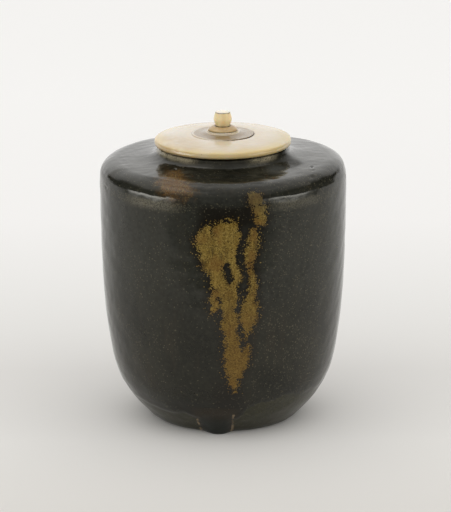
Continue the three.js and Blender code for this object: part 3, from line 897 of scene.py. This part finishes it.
def lid_marks(n, where, cloud, colour):
    """Yellower towards the rim and the right, stained front left, and a brown, finely turned boss whose
    patina is deepened towards the front as painted shade.
    """
    x, y, _ = n.xyz(where)
    front = n.field("front")
    leftwards = n.smooth(n.total(x, n.times(cloud, 0.012)), 0.002, -0.01)
    stained = n.times(leftwards, n.smooth(y, 0.006, -0.012), n.smooth(n.noise(where, 230, 3.0), 0.35, 0.65))
    radius = n.total(n.away(where, 0, 0), n.times(cloud, 0.0002))
    lines = n.smooth(n.math("SINE", n.times(radius, TURNED_LINES)), -1.0, 1.0)
    return n.coats(
        colour,
        (n.times(n.field("rim"), n.smooth(cloud, 0.1, 0.6)), 0.85, RIM_IVORY),
        (n.smooth(x, 0.012, 0.019), 0.6, RIGHT_IVORY),
        (stained, 0.45, BROWN_STAIN),
        # Painted shade: the boss's brown patina is stronger towards the front, and darker still near the
        # collar in front.
        (n.field("boss"), n.total(0.78, n.times(front, 0.18)), n.mix(lines, BOSS_LIGHT, BOSS_DARK)),
        (n.times(n.field("middle"), front), 0.6, BOSS_MIDDLE_PATINA_AND_SHADE),
    )


def knob_marks(n, where, cloud, colour):
    """A darker upright streak in front, and a whiter cap."""
    x, y, _ = n.xyz(where)
    from_streak = n.gap(n.total(x, n.times(cloud, 0.0006)), 0.0006)
    streak = n.times(n.smooth(from_streak, 0.0009, 0.0002), n.smooth(y, 0.0, -0.001))
    return n.coats(colour, (streak, 0.35, KNOB_STREAK), (n.field("cap"), 0.9, CAP_WHITE))


def ivory_material(name, light, deep, stain, roughness=0.22, marks=None):
    """Ivory in two clouded tones with fine stained lines, darkened joints, a painted shadow under the lid's
    rim, and marks of its own.
    """
    material, n = new_material(name)
    where = n.coordinates()
    cloud = n.noise(where, 95, 3.0, 0.55)
    lines = n.noise(n.stretch(where, 0.35, 1.9, 1.0), 900, 3.0, 0.6, 0.4)
    colour = n.mix(n.smooth(cloud, 0.3, 0.7), light, deep)
    colour = n.coats(colour, (n.smooth(lines, 0.45, 0.68), 0.22, stain))
    if marks:
        colour = marks(n, where, cloud, colour)
    # Darkened joints, and painted shade under the lid's rim.
    dirt_and_shade = n.math("MULTIPLY", n.field("dirt_and_shade"), n.smooth(n.noise(where, 1400, 2.0), 0.2, 0.55), clamp=True)
    speck = n.specks(where, 800, 0.14, 0.05)
    colour = n.coats(colour, (dirt_and_shade, 1.0, JOINT_DIRT_AND_SHADE), (speck, 0.5, IVORY_SPECK))
    rough = n.total(roughness, n.times(cloud, 0.1), n.times(dirt_and_shade, 0.35))
    height = n.total(n.times(n.noise(where, 2300, 2.0), 0.4), n.times(lines, 0.5))
    n.surface(Base_Color=colour, Roughness=rough, Normal=n.bump(height, 0.22, 0.00003), IOR=1.54,
              Subsurface_Weight=0.35, Subsurface_Radius=(1.0, 0.62, 0.3), Subsurface_Scale=0.0018)
    return material


def gold_leaf_material():
    """Creased gold leaf, worn through to brown paper in places."""
    material, n = new_material("gold_leaf")
    where = n.coordinates()
    creases = n.noise(where, 420, 4.0, 0.65)
    tone = n.mix(n.smooth(n.noise(where, 130, 3.0), 0.3, 0.7), (0.7, 0.47, 0.14), (0.88, 0.66, 0.26))
    wear = n.total(n.noise(where, 260, 4.0, 0.7), n.times(n.noise(where, 1500, 2.0), 0.3))
    worn = n.smooth(wear, 0.8, 0.9)
    colour = n.mix(worn, tone, (0.32, 0.17, 0.08))
    rough = n.total(0.3, n.times(creases, 0.25), n.times(worn, 0.3))
    n.surface(Base_Color=colour, Metallic=n.smooth(worn, 0.6, 0.2), Roughness=rough,
              Normal=n.bump(creases, 0.5, 0.0001))
    return material


# Pieces

ivory = ivory_material("ivory", (0.68, 0.6, 0.48), (0.65, 0.535, 0.365), (0.5, 0.36, 0.2),
                       roughness=0.1, marks=lid_marks)
brown_ivory = ivory_material("brown_ivory", (0.6, 0.44, 0.22), (0.46, 0.31, 0.14), (0.3, 0.17, 0.07))
warm_ivory = ivory_material("warm_ivory", (0.96, 0.84, 0.52), (0.93, 0.76, 0.42), (0.72, 0.52, 0.25),
                            marks=knob_marks)
place(jar_mesh(), glaze_material(), "jar", "stoneware_body")
place(lid_mesh(), ivory, "lid", "lid_plate")
place(collar_mesh(), brown_ivory, "lid", "knob_collar")
place(knob_mesh(), warm_ivory, "lid", "knob")
place(lining_mesh(), gold_leaf_material(), "lid", "gold_leaf_lining")


# Ground, surroundings and camera, in metres

GROUND_HALF = 4.0
CARD_HALF_WIDTH, CARD_NEAR, CARD_FAR, CARD_LIFT = 0.9, -0.12, -2.5, 0.0006
SCREEN_DISTANCE, SCREEN_FOOT, SCREEN_TOP, SCREEN_COLUMNS = 0.5, 0.001, 0.102, 13
# The photograph's larger side and the camera's focal length in its pixels, and the lens's sensor in mm
PICTURE_SIDE, FOCAL_PIXELS, SENSOR = 512, 3454.74, 36
CAMERA_PLACE, CAMERA_DOWN, CAMERA_ROLL = (0.00064, -1.0, 0.327248), 15.5809, -0.258


def ground():
    """A wide pale ground whose colour paints light and shade: a little darker and warmer towards the
    camera, darker in a band beside the jar, and brightest far behind.
    """
    h = GROUND_HALF
    mesh = plain_mesh("ground", [(-h, -h, 0), (h, -h, 0), (h, h, 0), (-h, h, 0)], [(0, 1, 2, 3)])
    material, n = new_material("ground")
    back = n.xyz(n.coordinates())[1]
    depth = n.add("ShaderNodeMapRange", {0: back, 1: -0.1, 2: 0.6}).outputs[0]
    # Painted light and shade: the ramp darkens the ground towards the camera and in a band beside the jar,
    # and lightens it far behind.
    colour = n.ramp(depth, [(0, (0.76, 0.74, 0.705)), (0.1, (0.86, 0.845, 0.815)),
                            (0.2, (0.805, 0.79, 0.765)), (0.31, (0.853, 0.845, 0.825)),
                            (0.46, (0.93, 0.92, 0.91)), (0.75, (0.945, 0.94, 0.93)),
                            (1, (0.935, 0.93, 0.92))])
    n.surface(Base_Color=colour, Roughness=0.9)
    piece = place(mesh, material)


def out_of_sight(piece):
    """Left out of the picture, and casting no shadow."""
    piece.visible_camera = False
    piece.visible_shadow = False


def dark_card():
    """A dark card lying in front, past the view's edge, that the glaze mirrors."""
    w, near, far, z = CARD_HALF_WIDTH, CARD_NEAR, CARD_FAR, CARD_LIFT
    mesh = plain_mesh("dark_card", [(-w, far, z), (w, far, z), (w, near, z), (-w, near, z)], [(0, 1, 2, 3)])
    material, n = new_material("dark_card")
    x, y, _ = n.xyz(n.coordinates())
    spread = n.math("DIVIDE", n.math("ABSOLUTE", x), n.math("ABSOLUTE", y))
    cover = n.times(n.smooth(y, -0.13, -0.19), n.smooth(spread, 1.5, 0.35))
    n.veil(cover, n.add("ShaderNodeBsdfDiffuse", {"Color": (0.13, 0.13, 0.125, 1)}))
    piece = place(mesh, material)
    out_of_sight(piece)


def side_screen(name, middle, spread, strength):
    """A low lit screen beside the jar that the glaze mirrors below its shoulder. Angles are in degrees
    from the back, rightwards."""
    turns = np.radians(np.linspace(middle - spread, middle + spread, SCREEN_COLUMNS))
    points = [(SCREEN_DISTANCE * math.sin(a), SCREEN_DISTANCE * math.cos(a), z)
              for z in (SCREEN_FOOT, SCREEN_TOP) for a in turns]
    count = len(turns)
    mesh = plain_mesh(name, points, [(i, i + 1, i + 1 + count, i + count) for i in range(count - 1)])
    material, n = new_material(name)
    x, y, z = n.xyz(n.coordinates())
    turn = n.gap(n.math("ARCTAN2", x, y), math.radians(middle))
    fading = n.smooth(turn, math.radians(spread), math.radians(spread * 0.25))
    level = n.times(n.smooth(z, -0.03, 0.085), fading, strength)
    glow = n.add("ShaderNodeEmission", {"Color": (1.0, 0.99, 0.96, 1), "Strength": level})
    n.veil(n.add("ShaderNodeLightPath").outputs["Is Glossy Ray"], glow)
    piece = place(mesh, material)
    out_of_sight(piece)


def surroundings():
    """Soft, nearly even studio light. Glossy surfaces mirror a room that is pale behind, dark beside and
    dim in front near the ground, and brighter higher up."""
    world = bpy.data.worlds.new("studio")
    bpy.context.scene.world = world
    world.use_nodes = True
    n = Nodes(world.node_tree)
    x, y, z = n.xyz(n.coordinates("Generated"))
    share = n.math("MULTIPLY_ADD", n.math("ARCTAN2", x, y), 1 / TURN, 0.5)
    rise = n.math("ARCSINE", z)

    def band(stops):
        """Brightness round the horizon; angles in degrees from the back, rightwards."""
        places = [(angle / 360 + 0.5, level / 5) for angle, level in [*stops, (180, stops[0][1])]]
        return n.times(n.ramp(share, places, "EASE"), 5.0)

    def up_to(level, above, low, high):
        """One band passing into the next between two heights in degrees."""
        passage = n.smooth(rise, math.radians(low), math.radians(high))
        return n.total(level, n.times(passage, n.math("SUBTRACT", above, level)))

    def pale_behind(edge, inner, core):
        """A pale stretch behind that ends at `edge` degrees to either side; dark beside, dim in front."""
        dim, dark, half, pale = 0.3, 0.03, 0.95, 1.2
        return band([(-180, dim), (-150, dim), (-120, dark), (-edge, dark), (-inner, half), (-core, pale),
                     (core, pale), (inner, half), (edge, dark), (120, dark), (150, dim)])

    low, ledge = pale_behind(62, 45, 30), pale_behind(46, 35, 22)
    middle = band([(-180, 0.6), (-120, 1.2), (-90, 1.35), (-60, 1.3), (60, 1.05), (90, 0.85), (120, 0.8)])
    high = band([(-180, 0.6), (-110, 2.5), (-60, 2.5), (-25, 1.0), (25, 0.95), (60, 1.2), (120, 1.2)])
    mirrored = low
    for above, *heights in ((ledge, 2, 5), (low, 12, 20), (middle, 24, 44), (high, 52, 62), (0.85, 68, 80)):
        mirrored = up_to(mirrored, above, *heights)
    lit = band([(-180, 0.9), (-140, 1.0), (-112, 1.15), (-80, 1.0), (-40, 1.05), (40, 1.05), (80, 1.0),
                (112, 1.15), (140, 1.0)])
    lit = up_to(lit, 0.88, 30, 75)
    path = n.add("ShaderNodeLightPath")
    level = n.total(lit, n.times(path.outputs["Is Glossy Ray"], n.math("SUBTRACT", mirrored, lit)))
    light = n.add("ShaderNodeBackground", {"Color": (1.0, 0.992, 0.978, 1), "Strength": level})
    pale = n.add("ShaderNodeBackground", {"Color": (0.93, 0.92, 0.905, 1), "Strength": 1.0})
    sockets = {0: path.outputs["Is Camera Ray"], 1: light.outputs[0], 2: pale.outputs[0]}
    n.add("ShaderNodeOutputWorld", {"Surface": n.add("ShaderNodeMixShader", sockets).outputs[0]})


def camera():
    """A long lens, a metre in front and a third of a metre up."""
    lens = bpy.data.cameras.new("camera")
    lens.lens = FOCAL_PIXELS * SENSOR / PICTURE_SIDE
    lens.clip_start, lens.clip_end = 0.05, 20
    view = bpy.data.objects.new("camera", lens)
    bpy.context.scene.collection.objects.link(view)
    view.location = CAMERA_PLACE
    view.rotation_euler = (math.radians(90 - CAMERA_DOWN), 0, 0)
    view.rotation_euler.rotate_axis("Z", math.radians(CAMERA_ROLL))
    bpy.context.scene.camera = view


ground()
dark_card()
side_screen("left_screen", -112, 34, 9.5)
side_screen("right_screen", 118, 32, 7.0)
surroundings()
camera()
bpy.context.scene.view_settings.view_transform = "Standard"
